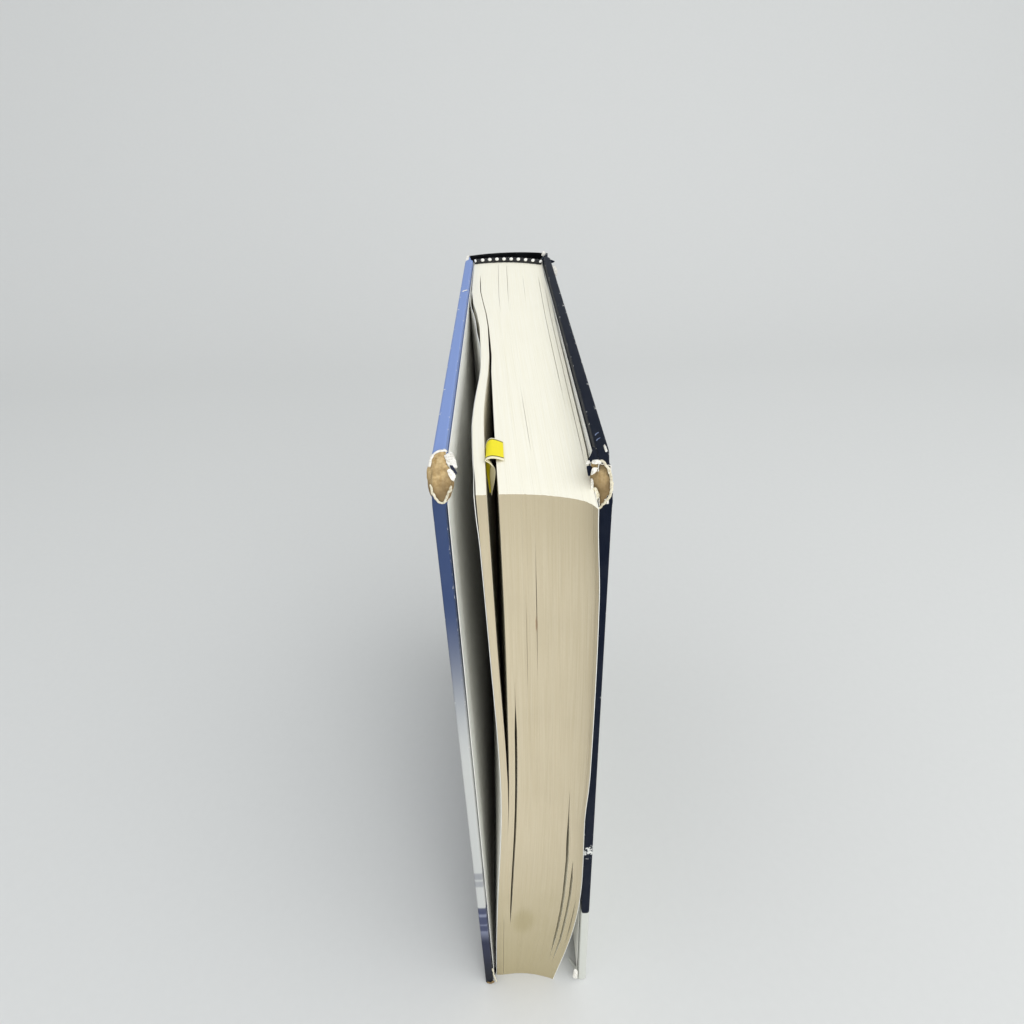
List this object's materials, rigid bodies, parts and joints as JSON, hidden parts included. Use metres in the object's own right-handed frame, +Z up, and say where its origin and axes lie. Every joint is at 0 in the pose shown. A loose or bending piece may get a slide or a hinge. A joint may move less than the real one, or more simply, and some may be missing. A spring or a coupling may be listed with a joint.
{
  "type": "hardcover textbook",
  "caption": "Thick worn hardcover textbook standing on its tail: rounded page block in a case whose front and back covers are hinged at the spine grooves.",
  "frame": {"origin": "centre of the bounding box, on the surface that the book stands on", "axes": "+Z up from tail to head, -X out of the front cover, +X out of the back cover, -Y towards the fore-edge, +Y towards the spine"},
  "size_m": [0.045, 0.2174, 0.26],
  "materials": {
    "book_paper": "matte",
    "endpaper": "matte",
    "laminated_cover_paper": "satin",
    "greyboard": "matte",
    "spine_card": "matte",
    "spine_cloth": "woven",
    "kraft_lining": "matte",
    "band_thread": "woven",
    "printed_slip": "matte"
  },
  "bodies": {
    "book_block": {"page_block": "book_paper", "front_flyleaf": "endpaper", "back_flyleaf": "endpaper", "spine_mull": "spine_cloth", "spine_lining": "kraft_lining", "head_band": "band_thread", "tail_band": "band_thread", "spine_cover": "laminated_cover_paper", "spine_inlay": "spine_card", "paper_slip": "printed_slip"},
    "front_cover": {"front_board": "greyboard", "front_cover_paper": "laminated_cover_paper", "front_pastedown": "endpaper", "front_cloth_flange": "spine_cloth"},
    "back_cover": {"back_board": "greyboard", "back_cover_paper": "laminated_cover_paper", "back_pastedown": "endpaper", "back_cloth_flange": "spine_cloth"}
  },
  "joints": [
    {"name": "front_cover_hinge", "type": "hinge", "parent": "book_block", "child": "front_cover", "pos_m": [-0.01955, 0.09977, 0.13], "axis": [0, 0, -1], "range_deg": [0, 175]},
    {"name": "back_cover_hinge", "type": "hinge", "parent": "book_block", "child": "back_cover", "pos_m": [0.02045, 0.09977, 0.13], "axis": [0, 0, 1], "range_deg": [0, 175]}
  ]
}
